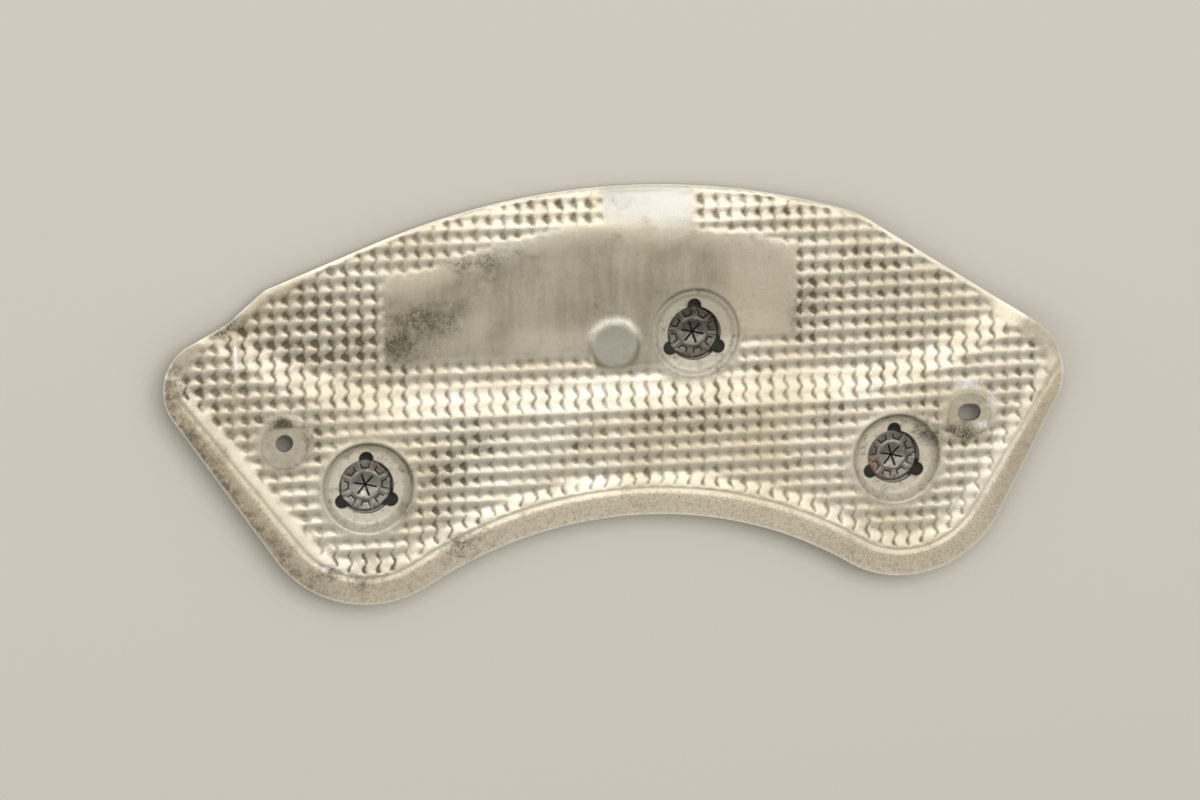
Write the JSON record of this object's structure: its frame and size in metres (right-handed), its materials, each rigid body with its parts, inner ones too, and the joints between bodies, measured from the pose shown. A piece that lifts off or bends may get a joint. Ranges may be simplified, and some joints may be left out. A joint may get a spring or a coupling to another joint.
{
  "type": "exhaust heat shield",
  "caption": "Pressed, dimpled aluminium exhaust heat shield with an arched lower edge, a plain flange, dished seats holding captive push nuts, a bolt hole and a slotted hole.",
  "frame": {"origin": "middle of the shield's footprint, on the plane that the push nuts rest on", "axes": "+X along the dimple rows towards the slotted hole, +Y towards the crown edge, +Z out of the shown face"},
  "size_m": [0.3954, 0.1766, 0.011],
  "materials": {
    "aluminium": "embossed, dulled and stained mill finish",
    "spring_steel": "dull dark spring steel with a little rust"
  },
  "bodies": {
    "root": {"heat_shield_sheet": "aluminium", "push_nut_left": "spring_steel", "push_nut_centre": "spring_steel", "push_nut_right": "spring_steel"}
  },
  "joints": []
}
